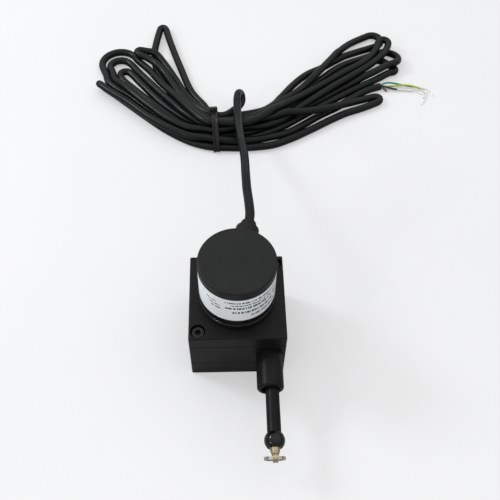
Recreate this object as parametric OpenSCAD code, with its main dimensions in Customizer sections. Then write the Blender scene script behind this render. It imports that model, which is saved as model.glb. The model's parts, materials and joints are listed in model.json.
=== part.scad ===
// Draw wire encoder: a square aluminium case with a grooved wire drum, a
// spiral power spring and a hollow-shaft rotary encoder on top. The wire runs
// out of a nozzle along -Y. The origin is the centre of the case's underside,
// Z is the drum's axis and the cable leaves at the back.

/* [Case] */
// Width of the square case along X
case_w = 50; // [49:0.5:60]
// Length of the case along Y
case_l = 50; // [49:0.5:60]
// Height of the bottom cover, which holds the spring
cover_h = 12.5; // [12:0.25:16]
// Height of the main housing round the drum
housing_h = 18.5; // [18:0.25:24]
// Height of the top plate, which carries the encoder
plate_h = 9; // [8.5:0.25:14]
// Bevel along the outer edges of the case
case_bevel = 0.5; // [0.2:0.1:1]
// Bevel along the seams between the pieces of the case
seam_bevel = 0.25; // [0.1:0.05:0.4]
// Distance of the case screws from the case's sides
screw_inset = 4.8; // [4.2:0.1:5]

/* [Drum] */
// Radius at which the wire lies on the drum
pitch_r = 16.3; // [14:0.1:16.5]
// Turns of wire on the drum
wire_turns = 10; // [6:1:11]
// Distance from one turn of wire to the next
groove_pitch = 1.1; // [1:0.05:1.2]
// Thickness of the drum's flanges
flange_t = 1.4; // [1:0.1:1.6]
// How far the flanges stand out past the wire's pitch radius
flange_rim = 1.5; // [1:0.1:1.6]
// Thickness of the drum's web
web_t = 3; // [2:0.5:4]
// Radius of the drum's hub
hub_r = 5; // [4.6:0.1:6]
// Diameter of the lightening holes in the web
web_hole_d = 6; // [4:0.5:6.5]
// Number of lightening holes
web_holes = 6; // [3:1:6]
// Gap between the drum and the housing round it
drum_gap = 0.9; // [0.6:0.1:1.2]

/* [Shaft and bearings] */
// Diameter of the drum's shaft
shaft_d = 6; // [5:0.5:6.5]
// Outer diameter of the lower shaft bearing
low_bearing_d = 12; // [11:0.5:14]
// Width of the lower shaft bearing
low_bearing_w = 4; // [3:0.5:4.5]
// Outer diameter of the upper shaft bearing
top_bearing_d = 15; // [13:0.5:17]
// Width of the upper shaft bearing
top_bearing_w = 5; // [4:0.5:5.5]
// Outer diameter of the encoder's two bearings
enc_bearing_d = 17; // [16:0.5:19]
// Width of each encoder bearing
enc_bearing_w = 3; // [2.5:0.5:3.5]

/* [Power spring] */
// Thickness of the spring band
band_t = 0.45; // [0.3:0.05:0.6]
// Height of the spring band
band_h = 5.4; // [4:0.1:6]
// Turns of the spring band
band_turns = 6; // [4:1:8]
// Radius of the spring's outermost turn
band_out_r = 16.4; // [15:0.1:17]

/* [Encoder] */
// Outer diameter of the encoder
enc_d = 39; // [37:0.5:42]
// Diameter of the machined base ring
base_d = 39.8; // [38:0.2:43]
// Height of the base ring above the case
base_h = 4.5; // [3.5:0.25:6]
// Height of the bare band between the base ring and the label
band_zone_h = 4.7; // [3:0.1:6]
// Height of the label
label_h = 19.6; // [17:0.1:24]
// Thickness of the label
label_t = 0.2; // [0.1:0.05:0.3]
// Height of the end cap
cap_h = 5.6; // [4:0.1:8]
// Radius of the rounded edge of the end cap
cap_round = 1.2; // [0.6:0.1:2]
// Wall of the encoder's shell
shell_wall = 1.5; // [1.2:0.1:2]
// Radius of the code disc
disc_r = 13; // [11:0.5:13.5]
// Thickness of the circuit board
board_t = 1.6; // [1:0.2:2]

/* [Cable outlet] */
// Height of the cable outlet above the floor
gland_z = 57; // [56:0.5:58]
// Turn of the cable outlet from straight back towards +X
gland_turn = 11; // [0:1:20]
// Diameter of the gland's body
gland_d = 12.4; // [11:0.2:13]
// Reach of the gland's body from the drum's axis
gland_reach = 32.5; // [30:0.1:35]
// Diameter of the rubber strain relief
relief_d = 8.3; // [7.4:0.1:9]
// Length of the strain relief past the gland
relief_l = 3.7; // [3.6:0.1:5]
// Diameter of the cable
cable_d = 5.2; // [4.6:0.1:5.6]

/* [Nozzle and wire end] */
// Diameter of the nozzle
nozzle_d = 13.8; // [12:0.2:16]
// Reach of the nozzle from the front of the case
nozzle_l = 19.8; // [14:0.1:24]
// Radius of the nozzle's front edge
nozzle_round = 1.5; // [0.8:0.1:2]
// Diameter of the nozzle's mouth
mouth_d = 9.4; // [8.8:0.1:9.6]
// Depth of the nozzle's mouth
mouth_depth = 4; // [3:0.1:5]
// Diameter of the thread that screws into the case
spigot_d = 10; // [9:0.5:11]
// Length of that thread
spigot_l = 8; // [6:0.5:9]
// Diameter of the wire rope
wire_d = 0.8; // [0.5:0.1:0.9]
// Diameter of the sleeve over the end of the wire
sleeve_d = 7; // [6.4:0.1:7.2]
// Length of the sleeve that shows between the nozzle and the ball
sleeve_l = 20.9; // [18:0.1:28]
// Sideways rest of the sleeve in the nozzle's loose mouth
sleeve_side = 0.8; // [0:0.1:0.8]
// Diameter of the stop ball
ball_d = 10.3; // [9:0.1:12]
// Base diameter of the brass ferrule
ferrule_d = 5.1; // [4.4:0.1:5.6]
// Thickness of the ferrule's eye
eye_t = 2.5; // [2:0.1:2.8]
// Radius of the ferrule's eye
eye_r = 2.4; // [2.2:0.1:2.6]
// Diameter of the hole through the eye
eye_hole_d = 2.4; // [2.2:0.1:2.6]
// Mean radius of the split ring
ring_r = 4.9; // [4.2:0.1:5.5]
// Radial thickness of the split ring's wire
ring_wire = 0.9; // [0.7:0.1:1]
// Tilt of the hanging split ring from upright towards the case
ring_tilt = 12; // [0:1:30]

/* [Fasteners] */
// Diameter of the case screws
screw_d = 4; // [3:0.5:4]
// Diameter of the case screws' heads
screw_head_d = 7; // [6:0.25:7.2]
// Height of the case screws' heads
screw_head_h = 4; // [3:0.5:4.5]
// Spacing of the four mounting holes in the underside
mount_pitch = 30; // [30:0.5:32]
// Core diameter of the mounting holes
mount_hole_d = 3.3; // [2.5:0.1:3.4]
// Depth of the mounting holes
mount_depth = 8; // [6:0.5:9]

/* [Hidden] */
$fn = 64;
eps = 0.01;
fit = 0.02;             // clearance between pieces fixed to each other
run = 0.35;             // clearance between pieces that move
// heights
housing_top = cover_h + housing_h;
case_h = housing_top + plate_h;
drum_z = cover_h + housing_h / 2;
base_top = case_h + base_h;
label_z = base_top + band_zone_h;
label_top = label_z + label_h;
enc_top = label_top + cap_h;
enc_r = enc_d / 2;
// drum
wire_r = wire_d / 2;
wind_h = wire_turns * groove_pitch;
floor_r = pitch_r - wire_r - fit;
crest_r = pitch_r - wire_r / 2;
flange_r = pitch_r + flange_rim;
drum_low = drum_z - wind_h / 2 - flange_t;
drum_high = drum_z + wind_h / 2 + flange_t;
cavity_r = flange_r + drum_gap;
rim_in_r = floor_r - 2.2;
// spring room in the bottom cover, stacked down from the cover's rim
spring_room_r = band_out_r + 0.5;
spring_gap = 0.7;       // from the spring band to the plate over it
bearing_gap = 0.4;      // from the lower bearing to the spring band
spring_z = cover_h - spring_gap - band_h;
cover_floor = spring_z - bearing_gap - low_bearing_w;
arbor_r = shaft_d / 2 + 1.8;
plate_disc_t = 1.4;
plate_disc_r = cavity_r + 1.2;
// encoder inside
base_r = base_d / 2;
seat_r = 11;
spigot_depth = 2;
shell_in_r = enc_r - shell_wall;
enc_hub_r = shaft_d / 2 + 2;
low_seat_z = case_h + 0.6;
high_seat_z = base_top + 4;
boss_r = enc_bearing_d / 2 + 1.6;
boss_top = high_seat_z + enc_bearing_w;
disc_lift = 3.2;         // from the bearing boss to the code disc
disc_z = boss_top + disc_lift;
disc_t = 0.8;
board_lift = 6;          // from the code disc to the board
board_z = disc_z + board_lift;
board_r = shell_in_r - 0.9;
post_ring_r = board_r - 2;
head_turn = 210;
post_turns = [30, 150, 270];
post_r = 1.6;
post_foot = 2;          // foot of the posts above the base ring
post_thread_r = 0.8;
post_thread_l = 5;
base_hole_d = 3.2;       // through holes for the screws of the base ring
base_head_hole_d = 6;    // counterbores for their heads
base_head_room = 2.6;    // the heads' seat above the housing's top
rope_start = 8;          // the rope's inner end, from the drum's axis
tie_head_w = 5.2;
tie_head_l = 5.4;
tie_head_h = 3.4;
tie_head_back = 5;       // the head's inner end, from the side of the strap
tie_lift = 0.1;
tie_tail_w = 2.4;
tie_tail_l = 2.4;
tie_tail_h = 1;
// chips on the circuit board: x, y, then length, width and height
chips = [[-5, -8, 6, 6, 1.2], [3, 2, 4, 3, 1], [-9, 4, 3, 5, 1.4]];
// the read head's fork: its size, and how far it reaches over the disc
fork_l = 6;
fork_w = 6;
fork_grip = 3.4;
fork_jaw = 2.4;
gland_in = shell_in_r - 0.3;
shaft_top = disc_z - 1;
// wire and wire end
nozzle_front = case_l / 2 + nozzle_l;
ball_y = nozzle_front + sleeve_l + ball_d / 2;
sleeve_start = nozzle_front - mouth_depth + 0.5;
ferrule_y = ball_y + ball_d / 2 - 1.6;
eye_y = ferrule_y + 4.8;
end_x = pitch_r + sleeve_side;
ring_w = 1.5;           // both turns of the split ring, side by side
ring_gap = 0.1;
// screws
screw_x = case_w / 2 - screw_inset;
screw_y = case_l / 2 - screw_inset;
head_room = 1.2;        // how deep the heads lie below the case's face
head_gap = 0.8;
head_bevel = 0.5;
top_screws = [[-screw_x, -screw_y], [screw_x, screw_y]];
low_screws = [[screw_x, -screw_y], [-screw_x, screw_y]];
low_screw_l = cover_h - screw_head_h + 2;
mounts = [for (sx = [-1, 1], sy = [-1, 1]) [sx, sy] * mount_pitch / 2];
base_screw_ring = 15;

// route of the cable from the strain relief to the hank
lead_points = [
    [6.6, 33.9, 57], [7.2, 37, 57], [7.6, 41, 56.9], [7.4, 47, 56.2], [7, 53.5, 55], [6.5, 61, 53.4],
    [6.3, 70, 50.8], [6.2, 79.5, 47.4], [6.2, 89.5, 43.4], [6, 99, 39.6], [5.4, 108.5, 35.8],
    [4.7, 118, 32], [4.1, 127.5, 28], [3.6, 138, 23.8], [3.3, 148, 20.2], [3, 158, 18],
    [2.8, 166, 17.4], [3, 173, 17.2], [4, 179, 15.4], [6, 183, 11], [7.5, 183, 6.6],
    [8.2, 179.5, 3.4], [8.2, 173, 2.7], [8, 163, 2.7]
];
// spine of the hank: x, y and half of its width
hank_spine = [
    [-80, 224, 22], [-62, 199, 21], [-38, 171, 18], [-14, 151.5, 14.2], [20, 151.5, 14.6],
    [50, 170, 18], [80, 196, 24], [104, 222, 29]
];
hank_h = 14.5;
loop_from = [-40, 206];
loop_to = [-52, 254];
loop_w = 18;
loop_h = 8;
// cable tie round the hank
tie_x = -13;
tie_y = 151.4;
tie_w = 3.6;
tie_t = 1.1;
tie_turn = -12;
tie_half = 15.3;
// stripped wires at the end of the cable: routes and colours
wire_core_d = 1.3;
core_routes = [
    [[119, 202.4, 2.2], [126, 203.4, 2.6], [134, 201.8, 2], [141, 199.6, 0.8]],
    [[119, 200.6, 2.2], [127, 201.2, 1.2], [134, 199, 1.2], [140, 196.4, 0.8]],
    [[119, 198.8, 2.2], [126, 198.4, 1.4], [133, 195.6, 1], [138, 190.6, 0.8]],
    [[119, 197, 2.2], [125, 195.4, 1.4], [129, 193.8, 1.2], [131, 193.2, 1]],
    [[119, 204.2, 2.2], [125, 206, 1.6], [131, 206.6, 1.2], [136, 205.6, 0.8]]
];
core_colours = ["seagreen", "yellowgreen", "white", "black", "peru"];

// ---- helpers ---------------------------------------------------------

// a case slab with bevelled upright edges
module slab(z0, z1) {
    b = case_bevel;
    w = case_w / 2;
    l = case_l / 2;
    translate([0, 0, z0])
        linear_extrude(z1 - z0)
            polygon([[b - w, -l], [w - b, -l], [w, b - l], [w, l - b],
                     [w - b, l], [b - w, l], [-w, l - b], [-w, b - l]]);
}

// a slab whose lower and upper rims are bevelled too, each by its own amount
module rim_slab(z0, z1, low_bevel, high_bevel) {
    corner = (case_w + case_l - 2 * case_bevel) / 2 / sqrt(2);
    difference() {
        slab(z0, z1);
        for (turn = [0 : 45 : 315], rim = [[z0, low_bevel], [z1, high_bevel]]) {
            half = turn % 90 != 0 ? corner : turn % 180 == 0 ? case_l / 2 : case_w / 2;
            rotate([0, 0, turn])
                translate([0, -half, rim[0]])
                    rotate([45, 0, 0])
                        cube([case_w + case_l, rim[1] * sqrt(2), rim[1] * sqrt(2)], center = true);
        }
    }
}

module pipe(r_out, r_in, z0, z1) {
    difference() {
        translate([0, 0, z0])
            cylinder(r = r_out, h = z1 - z0);
        translate([0, 0, z0 - eps])
            cylinder(r = r_in, h = z1 - z0 + 2 * eps);
    }
}

module bearing(r_out, r_in, z0, w) {
    race = (r_out - r_in) * 0.3;
    mid = (r_out + r_in) / 2;
    shield = w / 2 - 0.25;
    pipe(r_in + race, r_in, z0, z0 + w);
    pipe(r_out, r_out - race, z0, z0 + w);
    translate([0, 0, z0 + w / 2 - shield])
        pipe(r_out - race + eps, r_in + race - eps, 0, 2 * shield);
}

module socket_screw(head_r, head_h, r, l) {
    difference() {
        union() {
            rotate_extrude()
                polygon([[0, 0], [head_r, 0], [head_r, head_h - head_bevel],
                         [head_r - head_bevel, head_h], [0, head_h]]);
            translate([0, 0, -l])
                cylinder(r = r, h = l + eps);
        }
        translate([0, 0, head_h * 0.4])
            cylinder(d = r * 1.7, h = head_h, $fn = 6);
    }
}

// places what is drawn along +Z on the cable outlet's axis
module along_gland() {
    translate([0, 0, gland_z])
        rotate([0, 0, -gland_turn])
            rotate([-90, 0, 0])
                children();
}

// places what is drawn along +Z on the wire's way out along -Y
module along_wire(side = 0) {
    translate([pitch_r + side, 0, drum_z])
        rotate([90, 0, 0])
            children();
}

function unit(v) = v / norm(v);

// ring i of a tube of radius r along the points p
function tube_ring(p, i, r, n) =
    let (last = len(p) - 1,
         dir = unit(p[min(i + 1, last)] - p[max(i - 1, 0)]),
         side = unit(cross(dir, [0.3, 0.1, 1])),
         up = cross(side, dir))
    [for (k = [0 : n - 1]) p[i] + r * (cos(360 * k / n) * side + sin(360 * k / n) * up)];

module tube(p, r, n) {
    rings = len(p);
    points = [for (i = [0 : rings - 1]) each tube_ring(p, i, r, n)];
    sides = [for (i = [0 : rings - 2], k = [0 : n - 1])
        [i * n + k, i * n + (k + 1) % n, (i + 1) * n + (k + 1) % n, (i + 1) * n + k]];
    start = [for (k = [n - 1 : -1 : 0]) k];
    end = [for (k = [0 : n - 1]) (rings - 1) * n + k];
    polyhedron(points, concat(sides, [start, end]), convexity = 6);
}

// Catmull-Rom spline through the points p
function spline_point(a, b, c, d, t) =
    0.5 * (2 * b + (c - a) * t + (2 * a - 5 * b + 4 * c - d) * t * t
           + (3 * b - a - 3 * c + d) * t * t * t);
function spline(p, steps) =
    let (last = len(p) - 1)
    [for (i = [0 : last - 1], s = [0 : steps - 1])
        spline_point(p[max(i - 1, 0)], p[i], p[i + 1], p[min(i + 2, last)], s / steps),
     p[last]];

// ---- case ------------------------------------------------------------

module bottom_cover() color("#1d1e1f") difference() {
    rim_slab(0, cover_h, case_bevel, seam_bevel);
    translate([0, 0, cover_floor + low_bearing_w])
        cylinder(r = spring_room_r, h = cover_h);
    translate([0, 0, cover_floor])
        cylinder(d = low_bearing_d + 2 * fit, h = cover_h);
    for (p = mounts)
        translate([p.x, p.y, -eps])
            cylinder(d = mount_hole_d, h = mount_depth);
    for (p = low_screws)
        translate([p.x, p.y, -eps]) {
            cylinder(d = screw_head_d + head_gap, h = screw_head_h + head_room + eps);
            cylinder(d = screw_d + 0.3, h = cover_h + 1);
        }
}

module main_housing() color("#1d1e1f") difference() {
    rim_slab(cover_h, housing_top, seam_bevel, seam_bevel);
    translate([0, 0, cover_h - eps])
        cylinder(r = cavity_r, h = housing_h + 1);
    translate([0, 0, cover_h - eps])
        cylinder(r = plate_disc_r + fit, h = plate_disc_t + fit);
    along_wire()
        cylinder(d = spigot_d + 2 * fit, h = case_l);
    for (p = low_screws)
        translate([p.x, p.y, cover_h - eps])
            cylinder(d = screw_d + 2 * fit, h = low_screw_l - cover_h + screw_head_h + head_room + 1);
    for (p = top_screws)
        translate([p.x, p.y, cover_h + 1])
            cylinder(d = screw_d + 2 * fit, h = housing_h);
}

module top_plate() color("#1d1e1f") difference() {
    rim_slab(housing_top, case_h, seam_bevel, case_bevel);
    translate([0, 0, housing_top - eps])
        cylinder(d = top_bearing_d + 2 * fit, h = top_bearing_w + eps);
    cylinder(d = shaft_d + 2, h = case_h + 1);
    translate([0, 0, case_h - spigot_depth])
        cylinder(r = seat_r + fit, h = spigot_depth + 1);
    for (p = top_screws)
        translate([p.x, p.y, 0]) {
            cylinder(d = screw_d + 0.3, h = case_h + 1);
            translate([0, 0, case_h - screw_head_h - head_room])
                cylinder(d = screw_head_d + head_gap, h = case_h);
        }
    for (turn = [0 : 120 : 240])
        rotate([0, 0, turn + 90])
            translate([base_screw_ring, 0, 0]) {
                cylinder(d = base_hole_d, h = case_h + 1);
                cylinder(d = base_head_hole_d, h = housing_top + base_head_room);
            }
}

module top_screws() color("#222324")
    for (p = top_screws)
        translate([p.x, p.y, case_h - screw_head_h - head_room])
            socket_screw(screw_head_d / 2, screw_head_h, screw_d / 2,
                         case_h - screw_head_h - head_room - cover_h - 2);

module cover_screws() color("#222324")
    for (p = low_screws)
        translate([p.x, p.y, screw_head_h + head_room])
            mirror([0, 0, 1])
                socket_screw(screw_head_d / 2, screw_head_h, screw_d / 2, low_screw_l);

module spring_plate() color("silver")
    pipe(plate_disc_r, hub_r + run, cover_h, cover_h + plate_disc_t);

module lower_bearing() color("lightgray")
    bearing(low_bearing_d / 2, shaft_d / 2 + fit, cover_floor, low_bearing_w);

module upper_bearing() color("lightgray")
    bearing(top_bearing_d / 2, shaft_d / 2 + fit, housing_top, top_bearing_w);

// the band's centre line winds out at an even pitch
function band_r(turn) =
    let (inner = arbor_r + run + band_t / 2)
    inner + (band_out_r - inner) * turn / band_turns;

module power_spring() {
    steps = 24 * band_turns;
    turns = [for (i = [0 : steps]) i / 24];
    edge_in = [for (t = turns) (band_r(t) - band_t / 2) * [cos(360 * t), sin(360 * t)]];
    edge_out = [for (i = [steps : -1 : 0])
        (band_r(turns[i]) + band_t / 2) * [cos(360 * turns[i]), sin(360 * turns[i])]];
    color("slategray")
        translate([0, 0, spring_z])
            linear_extrude(band_h)
                polygon(concat(edge_in, edge_out));
}

// ---- nozzle ----------------------------------------------------------

module nozzle() color("#1b1c1d") along_wire() {
    face = case_l / 2;
    r = nozzle_d / 2;
    b = nozzle_round;
    rounded = [for (a = [0 : 15 : 90])
        [r - b + b * cos(a), nozzle_front - b + b * sin(a)]];
    rotate_extrude()
        polygon(concat(
            [[2.6, face - spigot_l], [spigot_d / 2, face - spigot_l], [spigot_d / 2, face], [r, face]],
            rounded,
            [[mouth_d / 2 + 0.4, nozzle_front], [mouth_d / 2, nozzle_front - 0.4],
             [mouth_d / 2, nozzle_front - mouth_depth], [2.6, nozzle_front - mouth_depth]]));
}

module guide_bush() color("goldenrod") along_wire() {
    face = case_l / 2;
    rotate_extrude()
        polygon([[wire_r + run, face - spigot_l], [2.6 - fit, face - spigot_l],
                 [2.6 - fit, nozzle_front - mouth_depth - 1],
                 [wire_r + run + 0.8, nozzle_front - mouth_depth - 1],
                 [wire_r + run, nozzle_front - mouth_depth - 1.8]]);
}

// ---- encoder ---------------------------------------------------------

module encoder_base() color("#232425") difference() {
    union() {
        rotate_extrude()
            polygon([[0, case_h - spigot_depth], [seat_r, case_h - spigot_depth], [seat_r, case_h],
                     [base_r - 0.4, case_h], [base_r, case_h + 0.4], [base_r, base_top - 0.5],
                     [base_r - 0.5, base_top], [0, base_top]]);
        translate([0, 0, base_top - eps])
            cylinder(r = shell_in_r - fit, h = 2);
        translate([0, 0, base_top])
            cylinder(r = boss_r, h = boss_top - base_top);
    }
    cylinder(d = enc_bearing_d - 3, h = enc_top);
    translate([0, 0, high_seat_z])
        cylinder(d = enc_bearing_d + 2 * fit, h = enc_top);
    translate([0, 0, case_h - spigot_depth - eps])
        cylinder(d = enc_bearing_d + 2 * fit, h = low_seat_z + enc_bearing_w - case_h + spigot_depth + eps);
    for (turn = [0 : 120 : 240])
        rotate([0, 0, turn + 90])
            translate([base_screw_ring, 0, 0])
                cylinder(d = 3 + 2 * fit, h = base_top - 0.8);
}

module base_screws() color("silver")
    for (turn = [0 : 120 : 240])
        rotate([0, 0, turn + 90])
            translate([base_screw_ring, 0, housing_top + 2.6])
                mirror([0, 0, 1])
                    socket_screw(2.75, 2.2, 1.5, base_top - housing_top - 4.4);

module encoder_bearings() color("lightgray")
    for (z = [low_seat_z, high_seat_z])
        bearing(enc_bearing_d / 2, enc_hub_r + fit, z, enc_bearing_w);

module gland_hole(r)
    along_gland()
        cylinder(r = r, h = 2 * enc_d);

module encoder_shell() color("#202122") difference() {
    rotate_extrude()
        polygon([[shell_in_r, base_top], [enc_r - 0.3, base_top], [enc_r, base_top + 0.3],
                 [enc_r, label_z], [enc_r - label_t - fit, label_z],
                 [enc_r - label_t - fit, label_top], [shell_in_r, label_top]]);
    gland_hole(gland_d / 2 - 1.5 + fit);
}

module encoder_label() color("gainsboro") difference() {
    pipe(enc_r, enc_r - label_t, label_z, label_top);
    gland_hole(gland_d / 2 + 0.6);
}

module encoder_cap() color("#1f2021") {
    r = enc_r;
    b = cap_round;
    rounded = [for (a = [0 : 15 : 90]) [r - b + b * cos(a), enc_top - b + b * sin(a)]];
    rotate_extrude()
        polygon(concat([[shell_in_r - fit, label_top], [r, label_top]], rounded,
                       [[0, enc_top], [0, enc_top - 2], [shell_in_r - 1.6, enc_top - 2],
                        [shell_in_r - 1.6, label_top - 3], [shell_in_r - fit, label_top - 3]]));
}

module board_posts() color("silver")
    for (turn = post_turns)
        rotate([0, 0, turn])
            translate([post_ring_r, 0, 0])
                difference() {
                    translate([0, 0, base_top + post_foot])
                        cylinder(r = post_r, h = board_z - base_top - post_foot);
                    translate([0, 0, board_z - post_thread_l])
                        cylinder(r = post_thread_r, h = post_thread_l + eps);
                }

module circuit_board() color("darkgreen") {
    difference() {
        translate([0, 0, board_z])
            cylinder(r = board_r, h = board_t);
        for (turn = post_turns)
            rotate([0, 0, turn])
                translate([post_ring_r, 0, board_z - eps])
                    cylinder(r = post_thread_r + 0.1, h = board_t + 2 * eps);
    }
    for (c = chips)
        translate([c[0], c[1], board_z + board_t])
            cube([c[2], c[3], c[4]]);
}

// a fork that reaches over the edge of the code disc
module read_head() color("#2b2b2b")
    rotate([0, 0, head_turn])
        difference() {
            translate([disc_r - fork_grip, -fork_w / 2, disc_z - fork_jaw])
                cube([fork_l, fork_w, board_z - disc_z + fork_jaw]);
            translate([0, -fork_w, disc_z - run])
                cube([disc_r + run, 2 * fork_w, disc_t + 2 * run]);
        }

module cable_gland() color("#1c1d1e") difference() {
    r = gland_d / 2;
    groove_y = (enc_r + gland_reach) / 2;
    rounded = [for (a = [0 : 15 : 90]) [r - 1.6 + 1.6 * cos(a), gland_reach - 1.6 + 1.6 * sin(a)]];
    along_gland()
        union() {
            rotate_extrude()
                polygon(concat([[relief_d / 2 - 1 + fit, gland_in], [r - 1.5, gland_in],
                                [r - 1.5, enc_r - 4], [r, enc_r - 4], [r, groove_y - 1],
                                [r - 0.8, groove_y - 0.6], [r - 0.8, groove_y + 0.6], [r, groove_y + 1]],
                               rounded,
                               [[relief_d / 2 - 1 + fit, gland_reach]]));
        }
    difference() {
        pipe(enc_r + fit, shell_in_r - fit - 4, label_z, label_top);
        gland_hole(r - 1.5);
    }
}

// a rubber boot with one rib, pressed into the gland round the cable
module strain_relief() color("#191a1b") along_gland() {
    r = relief_d / 2;
    top = gland_reach + relief_l;
    rotate_extrude()
        polygon([[cable_d / 2, gland_in], [r - 1, gland_in], [r - 1, gland_reach],
                 [r - 0.5, gland_reach + 0.2], [r, gland_reach + 1], [r, top - 1.2],
                 [r - 0.4, top - 0.4], [r - 1, top], [cable_d / 2, top]]);
}

// ---- drum ------------------------------------------------------------

module wire_drum() color("#c9ccd0") difference() {
    grooves = [for (i = [0 : wire_turns - 1])
        let (z = drum_z - wind_h / 2 + (i + 0.5) * groove_pitch, half = wire_r + fit)
        each [[crest_r, z - half], [floor_r, z - half], [floor_r, z + half], [crest_r, z + half]]];
    rotate_extrude()
        polygon(concat(
            [[shaft_d / 2 + fit, drum_low - 0.4], [hub_r, drum_low - 0.4], [hub_r, drum_z - web_t / 2],
             [rim_in_r, drum_z - web_t / 2], [rim_in_r, drum_low], [flange_r - 0.3, drum_low],
             [flange_r, drum_low + 0.3], [flange_r, drum_low + flange_t - 0.4],
             [crest_r, drum_low + flange_t]],
            grooves,
            [[crest_r, drum_high - flange_t], [flange_r, drum_high - flange_t + 0.4],
             [flange_r, drum_high - 0.3], [flange_r - 0.3, drum_high], [rim_in_r, drum_high],
             [rim_in_r, drum_z + web_t / 2], [hub_r, drum_z + web_t / 2], [hub_r, housing_top - 0.4],
             [shaft_d / 2 + fit, housing_top - 0.4]]));
    for (i = [0 : web_holes - 1])
        rotate([0, 0, 360 * i / web_holes])
            translate([(hub_r + rim_in_r) / 2, 0, drum_z - web_t])
                cylinder(d = web_hole_d, h = 2 * web_t);
}

module wound_wire() color("lightslategray")
    for (i = [0 : wire_turns - 1])
        translate([0, 0, drum_z - wind_h / 2 + (i + 0.5) * groove_pitch])
            rotate_extrude()
                translate([pitch_r, 0])
                    circle(r = wire_r, $fn = 16);

module drum_shaft() color("silver")
    translate([0, 0, cover_floor + 0.2])
        cylinder(d = shaft_d, h = shaft_top - cover_floor - 0.2);

module spring_arbor() color("dimgray")
    pipe(arbor_r, shaft_d / 2 + fit, spring_z, cover_h - run);

module encoder_hub() color("silver") {
    pipe(enc_hub_r, shaft_d / 2 + fit, case_h - spigot_depth + run, disc_z);
    pipe(enc_hub_r + 1.5, shaft_d / 2 + fit, boss_top + 0.4, disc_z);
}

module code_disc() color("lightsteelblue") difference() {
    translate([0, 0, disc_z])
        cylinder(r = disc_r, h = disc_t);
    translate([0, 0, disc_z - 1])
        cylinder(r = 1, h = 3);
    for (i = [0 : 11])
        rotate([0, 0, 30 * i])
            translate([disc_r - 2.5, -0.5, disc_z - 1])
                cube([1.6, 1, 3]);
}

// ---- wire end --------------------------------------------------------

module wire_rope() color("lightslategray") along_wire()
    translate([0, 0, rope_start])
        cylinder(d = wire_d, h = sleeve_start - rope_start);

module wire_sleeve() color("#161718") along_wire(sleeve_side)
    rotate_extrude() {
        r = sleeve_d / 2;
        polygon([[0, sleeve_start], [r - 0.5, sleeve_start], [r, sleeve_start + 0.5],
                 [r, ball_y - ball_d * 0.35], [0, ball_y - ball_d * 0.35]]);
    }

// a moulded ball with seats for the sleeve and the ferrule
module stop_ball() color("#101112") along_wire(sleeve_side) difference() {
    translate([0, 0, ball_y])
        sphere(d = ball_d);
    translate([0, 0, ball_y - ball_d])
        cylinder(d = sleeve_d, h = ball_d * 0.65);
    translate([0, 0, ferrule_y])
        cylinder(d = ball_d, h = ball_d);
}

module wire_ferrule() color("#c2a25a") difference() {
    union() {
        along_wire(sleeve_side)
            rotate_extrude()
                polygon([[0, ferrule_y], [ferrule_d / 2 - 0.2, ferrule_y],
                         [ferrule_d / 2, ferrule_y + 0.3], [ferrule_d / 2 - 0.2, ferrule_y + 2],
                         [eye_t / 2 + 0.5, eye_y - 1.2], [eye_t / 2 + 0.1, eye_y],
                         [eye_t / 2, eye_y + 0.6], [0, eye_y + 0.6]]);
        translate([end_x, -eye_y, drum_z])
            rotate([0, 90, 0])
                cylinder(r = eye_r, h = eye_t, center = true);
    }
    translate([end_x, -eye_y, drum_z])
        rotate([0, 90, 0])
            cylinder(d = eye_hole_d, h = 2 * ferrule_d, center = true);
}

module split_ring() color("silver")
    translate([end_x, -eye_y, drum_z])
        rotate([90 + ring_tilt, 0, 0])
            translate([0, -ring_r, 0])
                difference() {
                    pipe(ring_r + ring_wire / 2, ring_r - ring_wire / 2, -ring_w / 2, ring_w / 2);
                    pipe(ring_r + ring_wire, ring_r - ring_wire / 4, -ring_gap / 2, ring_gap / 2);
                }

// ---- cable -----------------------------------------------------------

module cable_lead() color("#17191a")
    tube(lead_points, cable_d / 2, 10);

// left and right edges of the hank, with a half circle round each end
function hank_outline() =
    let (line = spline(hank_spine, 4),
         last = len(line) - 1,
         along = [for (i = [0 : last])
             let (d = line[min(i + 1, last)] - line[max(i - 1, 0)]) unit([d.x, d.y])],
         left = [for (i = [0 : last])
             [line[i].x, line[i].y] + line[i].z * [-along[i].y, along[i].x]],
         right = [for (i = [last : -1 : 0])
             [line[i].x, line[i].y] - line[i].z * [-along[i].y, along[i].x]],
         end_cap = [for (a = [75 : -15 : -75])
             let (d = along[last])
             [line[last].x, line[last].y] + line[last].z * (cos(a) * d + sin(a) * [-d.y, d.x])],
         start_cap = [for (a = [75 : -15 : -75])
             let (d = -along[0])
             [line[0].x, line[0].y] + line[0].z * (cos(a) * d + sin(a) * [-d.y, d.x])])
    concat(left, end_cap, right, start_cap);

module cable_hank() color("#17191a") difference() {
    run_v = loop_to - loop_from;
    union() {
        linear_extrude(hank_h)
            polygon(hank_outline());
        linear_extrude(loop_h)
            polygon([loop_from + loop_w / 2 * unit([-run_v.y, run_v.x]),
                     loop_from - loop_w / 2 * unit([-run_v.y, run_v.x]),
                     loop_to - loop_w / 2 * unit([-run_v.y, run_v.x]),
                     loop_to + loop_w / 2 * unit([-run_v.y, run_v.x])]);
        translate([loop_to.x, loop_to.y, 0])
            cylinder(d = loop_w, h = loop_h);
    }
    tie_place()
        cube([tie_w + 0.4, 4 * tie_half, 2 * (tie_t + 0.2)], center = true);
}

module tie_place()
    translate([tie_x, tie_y, 0])
        rotate([0, 0, tie_turn])
            children();

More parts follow.
